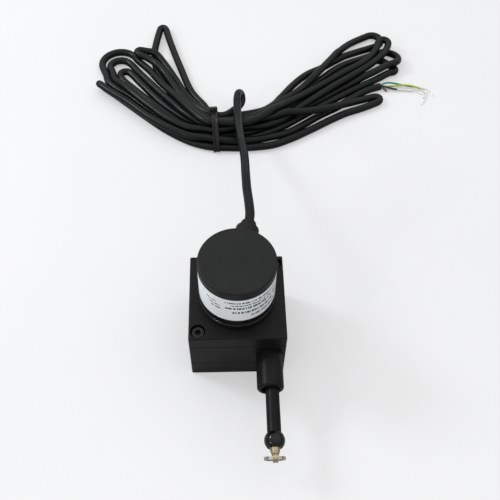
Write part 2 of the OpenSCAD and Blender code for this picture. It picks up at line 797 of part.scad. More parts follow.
module zip_tie() color("#0f1011") tie_place() {
    translate([tie_w / 2, 0, 0])
        rotate([0, -90, 0])
            linear_extrude(tie_w)
                difference() {
                    translate([0.05, -tie_half - tie_t])
                        square([hank_h + 2 * tie_t, 2 * (tie_half + tie_t)]);
                    translate([tie_t, -tie_half])
                        square([hank_h + 0.1, 2 * tie_half]);
                }
    translate([-tie_head_w / 2, tie_half - tie_head_back, hank_h + tie_t + tie_lift])
        cube([tie_head_w, tie_head_l, tie_head_h]);
    translate([-tie_tail_w / 2, tie_half - tie_head_back - tie_tail_l, hank_h + 2 * tie_t])
        cube([tie_tail_w, tie_tail_l + eps, tie_tail_h]);
}

module lead_wires()
    for (i = [0 : len(core_routes) - 1])
        color(core_colours[i])
            tube(core_routes[i], wire_core_d / 2, 6);

bottom_cover();
main_housing();
top_plate();
top_screws();
cover_screws();
nozzle();
guide_bush();
spring_plate();
power_spring();
lower_bearing();
upper_bearing();
encoder_base();
base_screws();
encoder_bearings();
encoder_shell();
encoder_label();
encoder_cap();
board_posts();
circuit_board();
read_head();
cable_gland();
strain_relief();
wire_drum();
wound_wire();
drum_shaft();
spring_arbor();
encoder_hub();
code_disc();
wire_rope();
wire_sleeve();
stop_ball();
wire_ferrule();
split_ring();
cable_lead();
cable_hank();
zip_tie();
lead_wires();
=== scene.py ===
import json
import math

import bmesh
import bpy
import numpy as np
from mathutils import Matrix, Vector


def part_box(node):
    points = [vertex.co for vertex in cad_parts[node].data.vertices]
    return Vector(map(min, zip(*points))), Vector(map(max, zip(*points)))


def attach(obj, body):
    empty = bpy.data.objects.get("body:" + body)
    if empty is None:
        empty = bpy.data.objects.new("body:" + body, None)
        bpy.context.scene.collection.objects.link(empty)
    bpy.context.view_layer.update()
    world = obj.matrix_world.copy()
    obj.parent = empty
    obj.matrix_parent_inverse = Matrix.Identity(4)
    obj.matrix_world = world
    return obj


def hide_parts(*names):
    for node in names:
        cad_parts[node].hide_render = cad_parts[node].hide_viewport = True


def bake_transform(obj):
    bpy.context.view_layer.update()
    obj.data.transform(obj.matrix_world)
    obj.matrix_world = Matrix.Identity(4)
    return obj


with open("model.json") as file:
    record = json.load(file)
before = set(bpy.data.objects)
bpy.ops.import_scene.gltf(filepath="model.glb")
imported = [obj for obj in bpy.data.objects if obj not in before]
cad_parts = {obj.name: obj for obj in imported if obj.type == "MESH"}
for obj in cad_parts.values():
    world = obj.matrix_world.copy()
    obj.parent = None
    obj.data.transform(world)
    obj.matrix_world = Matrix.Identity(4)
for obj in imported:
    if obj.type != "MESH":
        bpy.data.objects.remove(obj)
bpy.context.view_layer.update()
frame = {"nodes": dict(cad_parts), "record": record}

MM = 0.001
TAU = 2 * math.pi
scene = bpy.context.scene
nodes = frame["nodes"]


# ---- places taken from the frame -------------------------------------

def centre(node):
    """The middle of a CAD node's box."""
    low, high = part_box(node)
    return (Vector(low) + Vector(high)) / 2


label_low, label_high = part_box("encoder_label")
rope_low, rope_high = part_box("wire_rope")
wire_axis = centre("nozzle")


# ---- camera ----------------------------------------------------------

CAMERA_AT = Vector((-3.27, -179.03, 346.41)) * MM
CAMERA_YAW = math.radians(2.976)
CAMERA_DOWN = math.radians(55.785)
CAMERA_ROLL = math.radians(1.688)
CAMERA_LENS = 48.78


def make_camera():
    """The camera at the photograph's place, fitted to the case's corners."""
    forward = Vector((math.sin(CAMERA_YAW) * math.cos(CAMERA_DOWN),
                      math.cos(CAMERA_YAW) * math.cos(CAMERA_DOWN),
                      -math.sin(CAMERA_DOWN)))
    level = Vector((math.cos(CAMERA_YAW), -math.sin(CAMERA_YAW), 0))
    up = level.cross(forward)
    right = math.cos(CAMERA_ROLL) * level + math.sin(CAMERA_ROLL) * up
    up = math.cos(CAMERA_ROLL) * up - math.sin(CAMERA_ROLL) * level
    data = bpy.data.cameras.new("camera")
    data.sensor_width = 36
    data.lens = CAMERA_LENS
    data.clip_start = 0.01
    data.clip_end = 20
    camera = bpy.data.objects.new("camera", data)
    scene.collection.objects.link(camera)
    turn = Matrix((right, up, -forward)).transposed().to_4x4()
    camera.matrix_world = Matrix.Translation(CAMERA_AT) @ turn
    scene.camera = camera


make_camera()


# ---- material helpers ------------------------------------------------

GRAIN_DEPTH = 0.1 * MM
CORNER_SAMPLES = 6


def shader(name):
    """A new material, its node tree and its Principled shader."""
    mat = bpy.data.materials.new(name)
    mat.use_nodes = True
    tree = mat.node_tree
    return mat, tree, tree.nodes["Principled BSDF"]


def noise(tree, scale, stretch=(1, 1, 1), **values):
    """A noise texture on the object's own coordinates."""
    place = tree.nodes.new("ShaderNodeTexCoord")
    mapping = tree.nodes.new("ShaderNodeMapping")
    mapping.inputs["Scale"].default_value = stretch
    tree.links.new(place.outputs["Object"], mapping.inputs["Vector"])
    node = tree.nodes.new("ShaderNodeTexNoise")
    tree.links.new(mapping.outputs["Vector"], node.inputs["Vector"])
    node.inputs["Scale"].default_value = scale
    for key, value in values.items():
        node.inputs[key].default_value = value
    return node.outputs["Fac"]


def object_axes(tree):
    """The object's own x, y and z at each point of the surface."""
    place = tree.nodes.new("ShaderNodeTexCoord")
    split = tree.nodes.new("ShaderNodeSeparateXYZ")
    tree.links.new(place.outputs["Object"], split.inputs["Vector"])
    return split.outputs


def blend_colours(tree, factor, low, high, start=0.35, end=0.65):
    """A ramp from one colour to another driven by a texture's output."""
    ramp = tree.nodes.new("ShaderNodeValToRGB")
    for element, at, colour in zip(ramp.color_ramp.elements, (start, end), (low, high)):
        element.position = at
        element.color = (*colour, 1)
    tree.links.new(factor, ramp.inputs["Fac"])
    return ramp.outputs["Color"]


def map_range(tree, value, low, high, from_low=0.0, from_high=1.0):
    """The value carried over from one range to another."""
    node = tree.nodes.new("ShaderNodeMapRange")
    node.inputs["From Min"].default_value = from_low
    node.inputs["From Max"].default_value = from_high
    node.inputs["To Min"].default_value = low
    node.inputs["To Max"].default_value = high
    tree.links.new(value, node.inputs["Value"])
    return node.outputs["Result"]


def math_node(tree, operation, a, b=None):
    """A sum on one or two values, each a number or another node's output."""
    node = tree.nodes.new("ShaderNodeMath")
    node.operation = operation
    for socket, value in zip(node.inputs, (a, b)):
        if isinstance(value, (int, float)):
            socket.default_value = value
        elif value is not None:
            tree.links.new(value, socket)
    return node.outputs[0]


def bump(tree, bsdf, height, strength, distance=GRAIN_DEPTH, below=None):
    """Relief from a height, on top of the normal below it if there is one."""
    node = tree.nodes.new("ShaderNodeBump")
    node.inputs["Strength"].default_value = strength
    node.inputs["Distance"].default_value = distance
    tree.links.new(height, node.inputs["Height"])
    if below is not None:
        tree.links.new(below, node.inputs["Normal"])
    tree.links.new(node.outputs["Normal"], bsdf.inputs["Normal"])


def eased_corners(tree, radius):
    """The surface's normal with its corners rounded off."""
    corner = tree.nodes.new("ShaderNodeBevel")
    corner.samples = CORNER_SAMPLES
    corner.inputs["Radius"].default_value = radius
    return corner.outputs["Normal"]


def finish_of(name, dark, light, rough, metallic=0.0, grain=900, grain_bump=0.15, stain=60,
              rough_spread=0.08, stretch=(1, 1, 1), specular=0.5, coat=0.0, edge=0.0):
    """A moulded or machined finish: clouded colour, uneven gloss, fine grain, corners eased by edge mm."""
    mat, tree, bsdf = shader(name)
    cloud = noise(tree, stain, Detail=4.0, Roughness=0.6)
    fine = noise(tree, grain, stretch, Detail=3.0, Roughness=0.55)
    gloss = map_range(tree, fine, rough - rough_spread, rough + rough_spread, 0.3, 0.7)
    tree.links.new(blend_colours(tree, cloud, dark, light), bsdf.inputs["Base Color"])
    tree.links.new(gloss, bsdf.inputs["Roughness"])
    bsdf.inputs["Metallic"].default_value = metallic
    bsdf.inputs["Specular IOR Level"].default_value = specular
    bsdf.inputs["Coat Weight"].default_value = coat
    bump(tree, bsdf, fine, grain_bump, below=eased_corners(tree, edge * MM) if edge else None)
    return mat


# ---- materials -------------------------------------------------------

# the finishes of the record's material slots, but for the label's, made below, and the cores', whose
# colours are with their routes
FINISHES = {
    "case_black": dict(dark=(0.0055, 0.0055, 0.006), light=(0.0085, 0.0085, 0.009), rough=0.42,
                       edge=0.35, grain=2600, grain_bump=0.3, rough_spread=0.06, specular=0.16),
    "nozzle_black": dict(dark=(0.005, 0.005, 0.0055), light=(0.009, 0.009, 0.0095), rough=0.4,
                         edge=0.3, grain=1800, stretch=(0.15, 1, 0.15), grain_bump=0.25,
                         specular=0.12),
    "screw_black": dict(dark=(0.009, 0.009, 0.01), light=(0.02, 0.02, 0.021), rough=0.36,
                        metallic=0.2, grain=2200, specular=0.3, edge=0.25),
    "encoder_black": dict(dark=(0.005, 0.005, 0.0055), light=(0.009, 0.009, 0.0095), rough=0.25,
                          grain=1500, stretch=(0.2, 0.2, 1), grain_bump=0.2, specular=0.3,
                          edge=0.4),
    "cap_black": dict(dark=(0.0085, 0.009, 0.009), light=(0.012, 0.0125, 0.0125), rough=0.48,
                      edge=0.3, grain=3200, grain_bump=0.45, stain=90, specular=0.2),
    "steel": dict(dark=(0.5, 0.5, 0.51), light=(0.62, 0.62, 0.63), rough=0.27, metallic=1.0,
                  grain=1200, stretch=(1, 1, 0.1)),
    "spring_steel": dict(dark=(0.2, 0.21, 0.23), light=(0.3, 0.31, 0.34), rough=0.3, metallic=1.0,
                         grain=1200, stretch=(1, 1, 0.1)),
    "bush_brass": dict(dark=(0.55, 0.38, 0.14), light=(0.68, 0.49, 0.2), rough=0.3, metallic=1.0),
    "board_green": dict(dark=(0.01, 0.07, 0.03), light=(0.015, 0.1, 0.045), rough=0.35, coat=0.4),
    "head_black": dict(dark=(0.014, 0.014, 0.015), light=(0.02, 0.02, 0.021), rough=0.45),
    "gland_rubber": dict(dark=(0.006, 0.006, 0.0065), light=(0.011, 0.011, 0.0115), rough=0.45,
                         grain=2000, grain_bump=0.4, specular=0.18),
    "drum_alloy": dict(dark=(0.6, 0.61, 0.62), light=(0.72, 0.72, 0.73), rough=0.32, metallic=1.0,
                       grain=1500, stretch=(0.1, 0.1, 1)),
    "wire_steel": dict(dark=(0.34, 0.34, 0.35), light=(0.55, 0.55, 0.56), rough=0.3, metallic=1.0,
                       grain=3000),
    "disc_glass": dict(dark=(0.3, 0.36, 0.4), light=(0.38, 0.44, 0.48), rough=0.12, coat=0.5),
    "sleeve_black": dict(dark=(0.0045, 0.0045, 0.005), light=(0.008, 0.008, 0.0085), rough=0.42,
                         grain=1500, stretch=(1, 0.12, 1), grain_bump=0.3, specular=0.12),
    "ball_black": dict(dark=(0.003, 0.003, 0.0035), light=(0.005, 0.005, 0.0055), rough=0.14,
                       grain=900, grain_bump=0.06, rough_spread=0.05, specular=0.3),
    "ferrule_brass": dict(dark=(0.3, 0.24, 0.15), light=(0.5, 0.42, 0.29), rough=0.24, metallic=1.0,
                          stain=400, grain=1600, stretch=(1, 0.15, 1)),
    "ring_chrome": dict(dark=(0.4, 0.38, 0.33), light=(0.62, 0.6, 0.54), rough=0.2, metallic=1.0,
                        stain=500),
    "cable_pvc": dict(dark=(0.0035, 0.004, 0.0042), light=(0.0065, 0.0078, 0.008), rough=0.32,
                      grain=1300, grain_bump=0.25, rough_spread=0.07, specular=0.2),
    "tie_nylon": dict(dark=(0.004, 0.004, 0.0045), light=(0.008, 0.008, 0.0085), rough=0.35,
                      grain=1400, grain_bump=0.2, specular=0.3),
}

# rows of dashes on the label, in mm: foot above the label's edge, height, start and end round it
LABEL_ROWS = [(16.2, 1.2, -6.3, 29), (13.9, 1.0, -3.5, 29), (10.9, 1.7, -6.3, 29), (7.0, 1.8, -2.6, 29),
              (3.4, 1.3, 6.9, 29), (14.2, 0.9, -17, -11), (11.6, 0.9, -16, -9), (9.2, 1.0, -14, -8)]
ROW_SHIFT = 37.7        # how far along the same noise each row's dashes are taken from the last
DASHES = 1.1            # the noise's scale per mm
INK_FROM = 0.45         # the noise above this is ink
INK = (0.045, 0.05, 0.055)


def label_ink(tree):
    """1 where a dash is printed, 0 elsewhere."""
    x, y, z = object_axes(tree)
    turn = math_node(tree, "ARCTAN2", x, math_node(tree, "MULTIPLY", y, -1))
    around = math_node(tree, "MULTIPLY", turn, label_high[0] / MM)
    height = math_node(tree, "MULTIPLY", math_node(tree, "SUBTRACT", z, label_low[2]), 1 / MM)
    ink = None
    for k, (foot, tall, start, end) in enumerate(LABEL_ROWS):
        cells = tree.nodes.new("ShaderNodeTexNoise")
        cells.noise_dimensions = "1D"
        cells.inputs["Scale"].default_value = DASHES
        cells.inputs["Detail"].default_value = 2
        tree.links.new(math_node(tree, "ADD", around, ROW_SHIFT * (k + 1)), cells.inputs["W"])
        row = math_node(tree, "GREATER_THAN", cells.outputs["Fac"], INK_FROM)
        for test, value, limit in (("GREATER_THAN", height, foot), ("LESS_THAN", height, foot + tall),
                                   ("GREATER_THAN", around, start), ("LESS_THAN", around, end)):
            row = math_node(tree, "MULTIPLY", row, math_node(tree, test, value, limit))
        ink = row if ink is None else math_node(tree, "MAXIMUM", ink, row)
    return ink


def make_label_material():
    """Silver foil with rows of plain grey dashes."""
    mat, tree, bsdf = shader("label_silver")
    cloud = noise(tree, 140, Detail=3.0)
    foil = blend_colours(tree, cloud, (0.9, 0.945, 0.98), (0.95, 0.98, 1.0))
    mix = tree.nodes.new("ShaderNodeMix")
    mix.data_type = "RGBA"
    tree.links.new(label_ink(tree), mix.inputs["Factor"])
    tree.links.new(foil, mix.inputs[6])
    mix.inputs[7].default_value = (*INK, 1)
    tree.links.new(mix.outputs[2], bsdf.inputs["Base Color"])
    tree.links.new(map_range(tree, cloud, 0.3, 0.42), bsdf.inputs["Roughness"])
    bump(tree, bsdf, cloud, 0.1)
    return mat


MATERIALS = {name: finish_of(name, **finish) for name, finish in FINISHES.items()}
MATERIALS["label_silver"] = make_label_material()


def dress_cad_nodes():
    """Gives each CAD node the finish of its slot; the plain cores, which aren't shown, take the cable's."""
    for part in frame["record"]["subparts"]:
        finish = MATERIALS.get(part["material_slot"], MATERIALS["cable_pvc"])
        for slot in nodes[part["node"]].material_slots:
            slot.material = finish


dress_cad_nodes()


# ---- cable: route, in mm ---------------------------------------------

CABLE_D = 5.2
STEP = 2.6              # from point to point of the settled line

# from the gland to the hank: the points of the part's source as far as (4, 179, 15.4), then three of
# this script's own
LEAD = [
    (6.6, 33.9, 57), (7.2, 37, 57), (7.6, 41, 56.9), (7.4, 47, 56.2), (7, 53.5, 55), (6.5, 61, 53.4),
    (6.3, 70, 50.8), (6.2, 79.5, 47.4), (6.2, 89.5, 43.4), (6, 99, 39.6), (5.4, 108.5, 35.8),
    (4.7, 118, 32), (4.1, 127.5, 28), (3.6, 138, 23.8), (3.3, 148, 20.2), (3, 158, 18),
    (2.8, 166, 17.4), (3, 173, 17.2), (4, 179, 15.4), (6, 182.5, 11.5), (6.5, 179, 8.2), (3.5, 173, 7.6),
]
TIE = (-13.5, 155.2)
TIE_TURN = math.radians(-12)
PITCH = 5.3             # from strand to strand in the tie
ROWS = (2.6, 7.2, 11.8)  # heights of the rows of strands in the tie

# the hank's turns: place in the tie (across in strands, row), way out, round end and way back;
# an end is x, y, z, the way it points, its width across and its rise from the way back
TURNS = [
    ((2, 1), [(-27, 177, 6.5), (-36, 192, 5), (-43, 207, 4.5), (-51, 221, 6), (-59, 231, 8)],
     (-71.5, 233, 8.3, 133, -5.5, 0),
     [(-62, 223, 7.5), (-52, 212, 5.5), (-40, 190, 5.5), (-25, 168, 7)]),
    ((1, 1), [(14, 162, 8), (27, 172, 6.5), (47, 188, 6.5), (63, 206, 8), (75, 222.5, 6.5), (91, 244, 3)],
     (114.5, 254, 2.6, 45, 13, 0),
     [(95, 236), (84, 231), (74, 223.5), (67, 218), (56, 211), (45, 199), (36, 186), (26, 174)]),
    ((2.5, 0), [(-20, 178.5), (-29, 192.5), (-38, 219), (-46.5, 247.5)],
     (-53.5, 266.5, 2.6, 100, -4.5, 0),
     [(-57.5, 247), (-58, 231), (-53, 211), (-41, 188), (-28, 171)]),
    ((1.5, 0), [(17, 163.5), (41, 182), (61, 201), (83, 221), (99, 228.5)],
     (125.5, 227, 4, 0, 19, -4.5),
     [(108, 211.5, 7.5), (94, 205.5, 5), (80, 197.5), (62, 185), (34, 167), (16, 157)]),
    ((-0.5, 0), [(-30, 158), (-44, 169.5), (-59, 183.5), (-75, 199)],
     (-84.5, 213.5, 3.3, 145, 9, 0),
     [(-69, 203.5), (-60, 192), (-50, 180), (-40, 170.5), (-30, 163)]),
    ((0.5, 0), [(17, 159.5), (41, 176), (62, 192), (78, 204), (90, 214.5), (102, 224.5), (113, 227)],
     (123, 216, 3, -20, 6, 0),
     [(107, 206.5, 3), (84, 192.5), (58, 175.5), (31, 157), (13, 149)]),
    ((-1.5, 0), [(-30, 153), (-44, 163), (-58.5, 176.5), (-74, 192), (-88, 203.5)],
     (-90.7, 235.5, 2.6, 131, 26, 0),
     [(-70, 230, 3), (-60, 217, 4), (-50, 200, 6), (-40, 184.5, 8), (-30, 168.5, 10.5)]),
    ((-0.5, 2), [(12, 151, 12), (39, 171.5, 9), (61, 190, 8), (85, 209, 8), (100, 220, 8), (109, 232, 8)],
     (118.5, 245, 8, 60, 7.5, 0),
     [(115, 230, 8), (96, 212, 8), (73, 195, 8), (47, 175, 7), (21, 157, 7)]),
    ((0, 1), [(-23, 157.5, 7), (-37, 169, 7), (-51, 187, 5), (-62.5, 202.5, 4), (-71.5, 215, 3)],
     (-90.5, 224.5, 2.6, 140, -16, 0),
     [(-87, 206), (-74, 189, 6.5), (-58.5, 173, 7.4), (-44, 160, 7.4), (-30, 152.5, 7.2)]),
    ((-1, 1), [(20, 159.5, 8), (40, 165.5, 8), (54, 167.5, 8), (68.5, 171.5, 8), (77, 176.5, 6), (95, 186)],
     (106.5, 187.2, 2.6, 25, 5.6, 0),
     [(93, 177.3), (80, 172), (68.5, 165.5), (54, 156.5), (39, 148), (25, 142.5)]),
    ((-2.5, 0), [(-30, 147.2), (-44, 156.5), (-58.5, 169.5), (-74, 185), (-86, 197.5)],
     (-94.7, 203, 5.2, 140, -3.6, -5.2),
     [(-88, 194, 7.8), (-74, 182, 7.8), (-58, 166, 7.8), (-44, 155, 7.8), (-30, 147, 7.2)]),
    ((-2, 1), [(4, 143, 6), (20, 148, 3.5), (37, 153.5), (47, 159.5), (62, 170), (75.5, 178), (90, 189),
               (99.5, 195), (108.8, 198.6)], None, []),
]


def lane(across, row):
    """A strand's way through the tie, from left to right."""
    c, s = math.cos(TIE_TURN), math.sin(TIE_TURN)
    aside = across * PITCH
    return [(TIE[0] + ahead * c - aside * s, TIE[1] + ahead * s + aside * c, ROWS[row]) for ahead in (-4, 4)]


def round_end(x, y, z, heading, width, rise):
    """A turn's end: half an ellipse from the way out to the way back."""
    ahead = np.array([math.cos(math.radians(heading)), math.sin(math.radians(heading)), 0])
    side = np.array([-ahead[1] * width / 2, ahead[0] * width / 2, rise / 2])
    deep = math.hypot(width, rise) / 2
    return [tuple(np.array([x, y, z]) + ahead * deep * (math.cos(a) - 1) + side * math.sin(a))
            for a in np.radians([90, 60, 30, 0, -30, -60, -90])]


def route():
    """The points of the whole cable: the lead, the hank's turns and the loose end."""
    points = list(LEAD)
    for place, out, end, back in TURNS:
        way = lane(*place)
        if out[0][0] < TIE[0]:
            way.reverse()
        points += way + out + (round_end(*end) if end else []) + back
    return np.array([p if len(p) == 3 else (*p, ROWS[0]) for p in points], float)


BETWEEN = 24            # fine points from one given point to the next


def smooth_line(pts, step):
    """Points every step along a centripetal Catmull-Rom curve through pts."""
    p = np.vstack([2 * pts[0] - pts[1], pts, 2 * pts[-1] - pts[-2]])
    out = []
    for i in range(1, len(p) - 2):
        a, b, c, e = p[i - 1:i + 3]
        ta, tb, tc = (max(np.linalg.norm(q - r), 1e-9) ** 0.5 for q, r in ((b, a), (c, b), (e, c)))
        m1 = (b - a) / ta - (c - a) / (ta + tb) + (c - b) / tb
        m2 = (c - b) / tb - (e - b) / (tb + tc) + (e - c) / tc
        t = np.linspace(0, 1, BETWEEN, endpoint=False)[:, None]
        h = (2 * t**3 - 3 * t**2 + 1, t**3 - 2 * t**2 + t, -2 * t**3 + 3 * t**2, t**3 - t**2)
        out.append(h[0] * b + h[1] * tb * m1 + h[2] * c + h[3] * tb * m2)
    out.append(p[-2:-1])
    fine = np.vstack(out)
    along = np.r_[0, np.cumsum(np.linalg.norm(np.diff(fine, axis=0), axis=1))]
    n = round(along[-1] / step)
    at = np.linspace(0, along[-1], n + 1)
    return np.stack([np.interp(at, along, fine[:, k]) for k in range(3)], 1)


# ---- cable: how it comes to rest -------------------------------------

ROUNDS = 260
LOOK_EVERY = 8          # rounds from one search for close strands to the next
LOOK_IN = 1.6           # reach of that search, in diameters
SAME_STRAND = 2.2       # closer than this along the cable, in diameters, is the same strand
AT_ONCE = 200           # points compared at a time
SAG = 0.06              # mm down in each round
HOME = 0.01             # share of the way back over its route, in x and y, in each round
BEND = 0.35             # share of the way to the eased bend in each pass
PUSH = 0.35             # share of an overlap that each of two strands gives way by
PASSES = 3              # of bending, spacing and pushing in each round
REACH = 10              # points that a push spreads over to each side
WIDE = np.exp(-(np.arange(-REACH, REACH + 1) / 4) ** 2 / 2)
WIDE /= WIDE.sum()


def close_pairs(p, reach, skip):
    """Pairs of points within reach of each other that aren't on the same strand."""
    found = []
    for i in range(0, len(p), AT_ONCE):
        gap = np.linalg.norm(p[i:i + AT_ONCE, None] - p[None], axis=2)
        a, b = np.nonzero(gap < reach)
        a += i
        keep = b > a + skip
        found.append(np.stack([a[keep], b[keep]]))
    return np.concatenate(found, 1)


def ease_bends(p, home, free):
    """What a strand is pushed aside spreads along it."""
    moved = np.pad(p - home, ((REACH, REACH), (0, 0)), mode="edge")
    eased = np.stack([np.convolve(moved[:, c], WIDE, "valid") for c in range(3)], 1)
    p += BEND * (home + eased - p) * free


def keep_length(p, step, free):
    """Neighbours along the cable stay a step apart."""
    v = p[1:] - p[:-1]
    l = np.linalg.norm(v, axis=1, keepdims=True)
    corr = 0.5 * v * (1 - step / l)
    p[:-1] += corr * free[:-1]
    p[1:] -= corr * free[1:]


def push_apart(p, pairs, d, free):
    """Strands that press into each other move apart, and nothing sinks into the floor."""
    a, b = pairs
    v = p[b] - p[a]
    l = np.linalg.norm(v, axis=1)
    hit = l < d
    v, l, a, b = v[hit], l[hit], a[hit], b[hit]
    push = PUSH * (d - l) / np.maximum(l, 1e-6)
    for c in range(3):
        s = push * v[:, c]
        p[:, c] += (np.bincount(b, s, len(p)) - np.bincount(a, s, len(p))) * free[:, 0]
    p[:, 2] = np.maximum(p[:, 2], d / 2)


def settle(p, d, held):
    """Lets the cable come to rest: strands off each other and the floor, bends eased, length kept."""
    home = p.copy()
    step = np.linalg.norm(np.diff(p, axis=0), axis=1).mean()
    free = (~held).astype(float)[:, None]
    for k in range(ROUNDS):
        if k % LOOK_EVERY == 0:
            pairs = close_pairs(p, LOOK_IN * d, int(SAME_STRAND * d / step))
        p[:, 2] -= SAG * free[:, 0]
        p += HOME * (home - p) * [1, 1, 0] * free
        for _ in range(PASSES):
            ease_bends(p, home, free)
            keep_length(p, step, free)
            push_apart(p, pairs, d, free)
    return p


def lay_cable():
    """The cable's line at rest, in metres: its lead and its last points stay put."""
    line = smooth_line(route(), STEP)
    lead = np.linalg.norm(np.diff(LEAD, axis=0), axis=1).sum()
    held = np.zeros(len(line), bool)
    held[:int(lead / STEP) - 2] = True
    held[-3:] = True
    return settle(line, CABLE_D, held) * MM


cable_line = lay_cable()


# ---- mesh helpers ----------------------------------------------------

def link(name, data):
    """A new object with that data in the scene."""
    obj = bpy.data.objects.new(name, data)
    scene.collection.objects.link(obj)
    return obj


def smooth_shaded(mesh, material):
    """The mesh with its material and smooth shading."""
    mesh.materials.append(material)
    for poly in mesh.polygons:
        poly.use_smooth = True
    return mesh


def add_mesh(name, verts, faces, material):
    """A piece of the look made of vertices, in metres, and faces."""
    mesh = bpy.data.meshes.new(name)
    mesh.from_pydata([tuple(v) for v in verts], [], faces)
    mesh.validate()
    obj = link(name, smooth_shaded(mesh, material))
    return obj


def around_and_along(turns, sides, closed=False):
    """Faces of a tube whose vertices come as turns rings of so many sides."""
    faces = []
    for i in range(turns if closed else turns - 1):
        here, there = i * sides, (i + 1) % turns * sides
        for k in range(sides):
            after = (k + 1) % sides
            faces.append((here + k, here + after, there + after, there + k))
    return faces


def add_curve(name, lines, radius, materials, resolution=6):
    """A round tube along each line of points, in metres; the materials are taken in turn."""
    data = bpy.data.curves.new(name, "CURVE")
    data.dimensions = "3D"
    data.bevel_depth = radius
    data.bevel_resolution = resolution
    data.use_fill_caps = True
    data.resolution_u = 2
    for material in materials:
        data.materials.append(material)
    for i, line in enumerate(lines):
        spline = data.splines.new("NURBS")
        spline.points.add(len(line) - 1)
        for point, at in zip(spline.points, line):
            point.co = (*at, 1)
        spline.order_u = 4
        spline.use_endpoint_u = True
        spline.use_smooth = True
        spline.material_index = i % len(materials)
    return link(name, data)


# ---- tie -------------------------------------------------------------

STRAP_AT = (-12.7, 155.2)
STRAP_TURN = math.radians(4)
STRAP_W = 4.2
STRAP_T = 1.1
STRAP_RIM = 0.8         # width of the raised rim at each edge, before its slope
STRAP_DIP = 0.45        # how far the strap's middle lies below its rims
STRAP_GAP = 0.05        # between cable and strap
STRAP_INNER = 0.1       # chamfer of the strap's corners towards the cable
STRAP_OUTER = 0.2       # and of those away from it
LOOK_ACROSS = 20        # strands farther from the strap's middle than this aren't tied
LOOK_UP = 17            # and neither are those above this
HEAD_SIZE = (5.4, 5.2, 3.6)
HEAD_BEVEL = 0.6
HEAD_TILT = math.radians(-32)
HEAD_IN = 0.2           # how far the head's middle lies inside the strap's shoulder
HEAD_UP = 1.6           # and how far above it

strap_base = np.array([*STRAP_AT, 0])
strap_along = np.array([math.cos(STRAP_TURN), math.sin(STRAP_TURN), 0])
strap_across = np.array([-math.sin(STRAP_TURN), math.cos(STRAP_TURN), 0])


def convex(points):
    """The convex outline of flat points."""
    points = sorted(map(tuple, np.round(points, 4)))

    def half(row):
        """One side of the outline, from the row's first point to its last."""
        out = []
        for p in row:
            while len(out) > 1 and ((out[-1][0] - out[-2][0]) * (p[1] - out[-2][1])
                                    - (out[-1][1] - out[-2][1]) * (p[0] - out[-2][0])) <= 0:
                out.pop()
            out.append(p)
        return out[:-1]
    return np.array(half(points) + half(points[::-1]))


def tied_strands(line, samples=20):
    """Across and height of the strands' skins where they pass the strap, as a convex outline."""
    rel = line / MM - strap_base
    s, a, z = rel @ strap_along, rel @ strap_across, rel[:, 2]
    skins = []
    for i in range(len(s) - 1):
        if s[i] * s[i + 1] <= 0 and s[i] != s[i + 1] and abs(a[i]) < LOOK_ACROSS and z[i] < LOOK_UP:
            t = s[i] / (s[i] - s[i + 1])
            at = np.array([a[i] + t * (a[i + 1] - a[i]), z[i] + t * (z[i + 1] - z[i])])
            for k in range(samples):
                w = TAU * k / samples
                skins.append(at + CABLE_D / 2 * np.array([math.cos(w), math.sin(w)]))
    return convex(skins)


def strap_loop(rings=120, passes=3):
    """The strap's even, softened loop round the strands."""
    outline = tied_strands(cable_line)
    closed = np.vstack([outline, outline[:1]])
    along_it = np.r_[0, np.cumsum(np.linalg.norm(np.diff(closed, axis=0), axis=1))]
    at = np.linspace(0, along_it[-1], rings + 1)[:-1]
    loop = np.stack([np.interp(at, along_it, closed[:, k]) for k in (0, 1)], 1)
    for _ in range(passes):
        loop = (np.roll(loop, 1, 0) + 2 * loop + np.roll(loop, -1, 0)) / 4
    return loop


def make_strap(loop):
    """The nylon strap: a band with raised rims, swept round the loop."""
    tangent = np.roll(loop, -1, 0) - np.roll(loop, 1, 0)
    tangent /= np.linalg.norm(tangent, axis=1, keepdims=True)
    outward = np.stack([tangent[:, 1], -tangent[:, 0]], 1)
    w, t, rim, low = STRAP_W / 2, STRAP_T, STRAP_RIM, STRAP_T - STRAP_DIP
    inner, outer = STRAP_INNER, STRAP_OUTER
    profile = [(-w, inner), (-w + inner, 0), (w - inner, 0), (w, inner), (w, t - outer), (w - outer, t),
               (w - rim, t), (w - rim - outer, low), (-w + rim + outer, low), (-w + rim, t),
               (-w + outer, t), (-w, t - outer)]
    verts = []
    for p, o in zip(loop, outward):
        for s, h in profile:
            a, z = p + o * (h + STRAP_GAP)
            verts.append((strap_base + strap_along * s + strap_across * a + [0, 0, max(z, 0.02)]) * MM)
    faces = around_and_along(len(loop), len(profile), closed=True)
    return add_mesh("tie_strap", verts, faces, MATERIALS["tie_nylon"])


def make_tie_head(loop):
    """The tie's head: a bevelled block on the strap's far shoulder."""
    a, z = loop[np.argmax(loop[:, 0] + 1.2 * loop[:, 1])]
    spot = strap_base + strap_across * (a - HEAD_IN) + [0, 0, z + HEAD_UP]
    place = (Matrix.Scale(MM, 4) @ Matrix.Translation(Vector(spot)) @ Matrix.Rotation(STRAP_TURN, 4, "Z")
             @ Matrix.Rotation(HEAD_TILT, 4, "X"))
    block = bmesh.new()
    bmesh.ops.create_cube(block, size=1)
    bmesh.ops.scale(block, vec=HEAD_SIZE, verts=block.verts)
    bmesh.ops.bevel(block, geom=block.edges[:], offset=HEAD_BEVEL, segments=3, affect="EDGES", profile=0.6)
    bmesh.ops.transform(block, matrix=place, verts=block.verts)
    mesh = bpy.data.meshes.new("tie_head")
    block.to_mesh(mesh)
    block.free()
    head_obj = link("tie_head", smooth_shaded(mesh, MATERIALS["tie_nylon"]))
    return head_obj


# ---- cores and cable -------------------------------------------------

CORE_R = 0.65
STRAND_R = 0.16

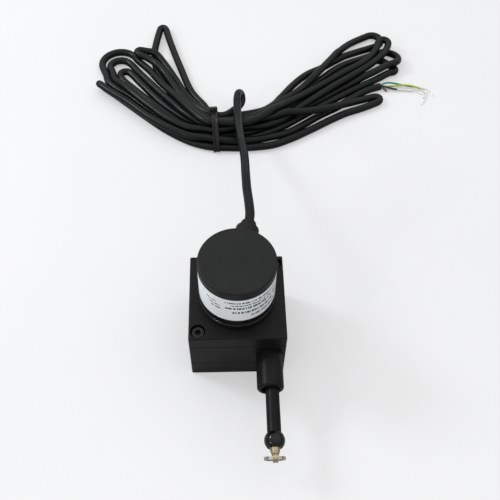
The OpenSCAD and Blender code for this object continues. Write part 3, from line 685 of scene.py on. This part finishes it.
# colour and route of each insulated core, in mm
CORES = [
    ((0.03, 0.27, 0.21),
     [(109, 199.2, 3.6), (114, 201.2, 3.8), (120, 201.8, 2.6), (127, 200.8, 1.6), (134, 199.8, 1.2)]),
    ((0.42, 0.55, 0.04),
     [(109, 198.6, 2.6), (115, 199.6, 1.8), (122, 200.2, 1.9), (130, 199.6, 2.7), (139, 197.8, 1.2)]),
    ((0.78, 0.72, 0.74), [(109, 198.2, 1.7), (115, 197.8, 1.2), (122, 196.6, 1.2), (132, 195.4, 1.0)]),
    ((0.012, 0.012, 0.013), [(109, 198.9, 3.1), (113, 197.6, 3.2), (118, 196.4, 2.4), (121, 196.0, 2.0)]),
    ((0.16, 0.07, 0.03), [(109, 199.9, 2.2), (111.5, 197.4, 1.4), (113.6, 195.2, 1.0)]),
]
# bare strands at the cores' ends, in mm
STRANDS = [
    [(138.5, 197.8, 1.2), (141.5, 196.4, 1.0), (143, 192, 0.6), (141, 186.5, 0.5), (137, 181, 0.4)],
    [(138.5, 197.9, 1.3), (142.5, 197, 1.6), (146, 193.5, 0.9), (147.5, 189.5, 0.5)],
    [(138.5, 197.7, 1.1), (141, 195.8, 0.8), (141, 191, 0.5), (139.5, 187.5, 0.4)],
    [(133.5, 199.8, 1.2), (138, 198.6, 1.5), (143.5, 195.8, 1.0)],
    [(131.5, 195.4, 1.0), (136, 194.6, 0.8), (139, 192, 0.5), (140.5, 188.5, 0.4)],
    [(131.5, 195.5, 1.1), (137, 195.8, 1.2), (144, 192.5, 0.6)],
]


def core_finish(number, colour):
    """The insulation of one core, a little darker in places."""
    dark = tuple(0.85 * c for c in colour)
    return finish_of("core_%d" % number, dark, colour, 0.35, grain=2500, grain_bump=0.15, stain=900)


def smooth_routes(routes, step):
    """Each route as a smooth line, in metres."""
    return [smooth_line(np.array(points, float), step) * MM for points in routes]


def make_cable():
    """The settled cable with its cores, bare strands and tie, all in place of the plain solids."""
    cable = add_curve("cable", [cable_line], CABLE_D / 2 * MM, [MATERIALS["cable_pvc"]])
    cores = add_curve("wire_cores", smooth_routes([points for _, points in CORES], 1.5), CORE_R * MM,
                      [core_finish(i, colour) for i, (colour, _) in enumerate(CORES)], 4)
    tinned = finish_of("tinned_copper", (0.6, 0.58, 0.56), (0.75, 0.73, 0.72), 0.25, metallic=1.0)
    strands = add_curve("bare_strands", smooth_routes(STRANDS, 1.2), STRAND_R * MM, [tinned], 2)
    loop = strap_loop()
    strap = make_strap(loop)
    head = make_tie_head(loop)
    for piece in (cable, cores, strands, strap, head):
        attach(piece, "housing")
    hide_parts("cable_lead", "cable_hank")
    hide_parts("lead_wires")
    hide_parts("zip_tie")


make_cable()


# ---- wire rope -------------------------------------------------------

ROPE_RINGS = 60
ROPE_SIDES = 12
ROPE_PITCH = 5.5        # mm along the rope in one turn of its lay
ROPE_STRANDS = 6
ROPE_IN_SLEEVE = 0.5    # mm that the rope reaches past its solid, into the sleeve


def make_rope_material():
    """Twisted steel strands, with painted shade in the grooves between them."""
    mat, tree, bsdf = shader("rope_strands")
    x, y, z = object_axes(tree)
    dx = math_node(tree, "SUBTRACT", x, wire_axis.x)
    dz = math_node(tree, "SUBTRACT", z, wire_axis.z)
    angle = math_node(tree, "ARCTAN2", dz, dx)
    lay = math_node(tree, "MULTIPLY", y, TAU / (ROPE_PITCH * MM))
    twist = math_node(tree, "MULTIPLY", math_node(tree, "ADD", angle, lay), ROPE_STRANDS)
    wave = math_node(tree, "SINE", twist)
    # the ramp's dark end is painted shade in the grooves between the strands; its light end is the steel
    tree.links.new(blend_colours(tree, wave, (0.08, 0.08, 0.085), (0.6, 0.6, 0.62), 0.0, 0.8),
                   bsdf.inputs["Base Color"])
    bsdf.inputs["Metallic"].default_value = 1.0
    bsdf.inputs["Roughness"].default_value = 0.3
    bump(tree, bsdf, wave, 0.6)
    return mat


def make_rope():
    """The steel wire between the guide bush and the sleeve; it pays out of the nozzle."""
    x, z = wire_axis.x, wire_axis.z
    y0, y1 = rope_high[1], rope_low[1] - ROPE_IN_SLEEVE * MM
    r = (rope_high[0] - rope_low[0]) / 2
    verts = []
    for i in range(ROPE_RINGS + 1):
        y = y0 + (y1 - y0) * i / ROPE_RINGS
        for k in range(ROPE_SIDES):
            w = TAU * k / ROPE_SIDES
            verts.append((x + r * math.cos(w), y, z + r * math.sin(w)))
    faces = [(a, d, c, b) for a, b, c, d in around_and_along(ROPE_RINGS + 1, ROPE_SIDES)]
    faces.append(tuple(range(ROPE_SIDES)))
    faces.append(tuple(ROPE_RINGS * ROPE_SIDES + k for k in reversed(range(ROPE_SIDES))))
    rope = add_mesh("rope", verts, faces, make_rope_material())
    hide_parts("wire_rope")
    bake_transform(rope)


make_rope()


# ---- floor, room and lamps -------------------------------------------

FLOOR_HALF = 4.0
FLOOR_GLOW = 0.37       # paleness that the floor has for the camera alone
ROOM_GLOW = 0.92        # the same for the room beyond it
ROOM_TINT = (0.99, 0.995, 1.0)
# strengths of the room's light: low, high and where from and to
WALLS = (0.15, 1.12, 0.05, 0.55)        # over the sine of the height above the horizon
VIEWER_SIDE = (1.0, 0.5, 0.6, 0.97)     # over the closeness to the way back to the camera
TO_CAMERA = (0.0, -0.5, 0.87)

# metres and watts: name, place, aim, side, power and colour
LAMPS = [
    ("window", (-1.0, 0.45, 0.85), (-0.03, 0.12, 0), 0.3, 6, (0.96, 0.99, 1.0)),
    ("overhead", (0.1, -0.3, 1.6), (0, 0.1, 0), 1.6, 4.2, (0.99, 0.995, 1.0)),
    ("front", (-1.0, -0.85, 0.62), (0, 0, 0.04), 0.12, 1.8, (1.0, 1.0, 1.0)),
]


def for_camera(tree, strength):
    """The strength for what the camera sees straight on, and nothing for other rays."""
    path = tree.nodes.new("ShaderNodeLightPath")
    return math_node(tree, "MULTIPLY", path.outputs["Is Camera Ray"], strength)


def make_floor():
    """A pale, faintly clouded floor that keeps the shadows."""
    mat, tree, bsdf = shader("floor_paper")
    cloud = noise(tree, 3, Detail=3.0)
    tree.links.new(blend_colours(tree, cloud, (0.45, 0.45, 0.452), (0.47, 0.47, 0.472)),
                   bsdf.inputs["Base Color"])
    bsdf.inputs["Roughness"].default_value = 0.75
    bsdf.inputs["Specular IOR Level"].default_value = 0.25
    tree.links.new(for_camera(tree, FLOOR_GLOW), bsdf.inputs["Emission Strength"])
    bsdf.inputs["Emission Color"].default_value = (0.99, 0.99, 1.0, 1)
    mesh = bpy.data.meshes.new("floor")
    corners = [(x * FLOOR_HALF, y * FLOOR_HALF, 0) for x, y in ((-1, -1), (1, -1), (1, 1), (-1, 1))]
    mesh.from_pydata(corners, [], [(0, 1, 2, 3)])
    mesh.materials.append(mat)
    floor = link("floor", mesh)


def make_world():
    """A pale room: darker near the horizon and on the side that the camera stands on."""
    world = bpy.data.worlds.new("world")
    scene.world = world
    world.use_nodes = True
    tree = world.node_tree
    back = tree.nodes["Background"]
    place = tree.nodes.new("ShaderNodeTexCoord")
    split = tree.nodes.new("ShaderNodeSeparateXYZ")
    tree.links.new(place.outputs["Generated"], split.inputs["Vector"])
    toward = tree.nodes.new("ShaderNodeVectorMath")
    toward.operation = "DOT_PRODUCT"
    toward.inputs[1].default_value = TO_CAMERA
    tree.links.new(place.outputs["Generated"], toward.inputs[0])
    walls = map_range(tree, split.outputs["Z"], *WALLS)
    viewer = map_range(tree, toward.outputs["Value"], *VIEWER_SIDE)
    light = math_node(tree, "MULTIPLY", walls, viewer)
    back.inputs["Color"].default_value = (*ROOM_TINT, 1)
    tree.links.new(math_node(tree, "MAXIMUM", light, for_camera(tree, ROOM_GLOW)), back.inputs["Strength"])


def make_lamp(name, at, aim, side, power, colour):
    """A square soft lamp that points at aim."""
    data = bpy.data.lights.new(name, "AREA")
    data.shape = "RECTANGLE"
    data.size = side
    data.size_y = side
    data.energy = power
    data.color = colour
    lamp = link(name, data)
    lamp.location = at
    lamp.rotation_euler = (Vector(aim) - Vector(at)).to_track_quat("-Z", "Y").to_euler()


make_floor()
make_world()
for lamp in LAMPS:
    make_lamp(*lamp)
scene.view_settings.view_transform = "Standard"
